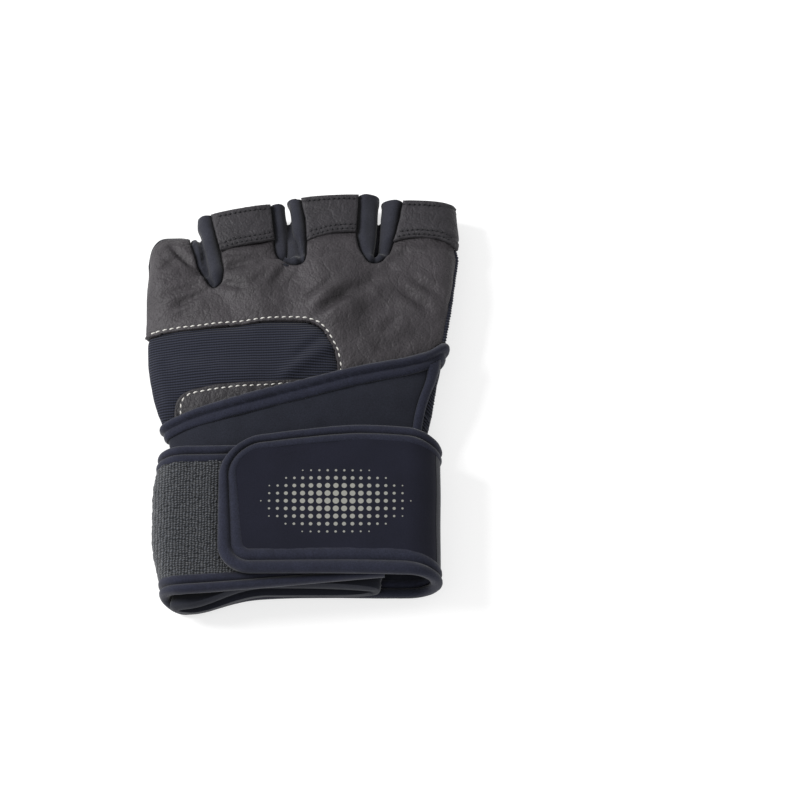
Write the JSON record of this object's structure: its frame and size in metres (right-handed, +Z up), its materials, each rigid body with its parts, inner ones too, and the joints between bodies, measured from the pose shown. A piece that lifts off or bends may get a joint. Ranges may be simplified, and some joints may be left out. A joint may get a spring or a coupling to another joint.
{
  "type": "weightlifting glove",
  "caption": "Fingerless weightlifting glove of leather and knit with a wrist wrap wound closed, lying palm down.",
  "frame": {"origin": "under the middle of the glove, on the surface that it lies on", "axes": "+Z up out of the back of the hand, +Y towards the fingertips, +X towards the index finger"},
  "size_m": [0.1168, 0.1658, 0.0253],
  "materials": {
    "leather": "soft grained leather, slightly shiny",
    "knit": "matt ribbed knit",
    "stretch": "matt stretch cloth",
    "suede": "napped suede",
    "binding": "matt folded tape",
    "padded": "matt padded cloth",
    "flap": "smooth matt cloth",
    "loop": "rows of tiny loops"
  },
  "bodies": {
    "root": {"back_leather": "leather", "ring_hem": "leather", "middle_hem": "leather", "index_hem": "leather", "leather_patch": "leather", "thumb_hem": "leather", "knit_panel": "knit", "fourchette_pinky_ring": "stretch", "fourchette_ring_middle": "stretch", "fourchette_middle_index": "stretch", "palm_panel": "suede", "palm_patch": "suede", "thumb_sleeve": "suede", "side_piping": "binding", "cuff_binding": "binding", "cuff_side_seam": "binding", "wrap_binding": "binding", "cuff": "padded", "wrap_strap": "padded", "flap_panel": "flap", "loop_band": "loop"}
  },
  "joints": []
}
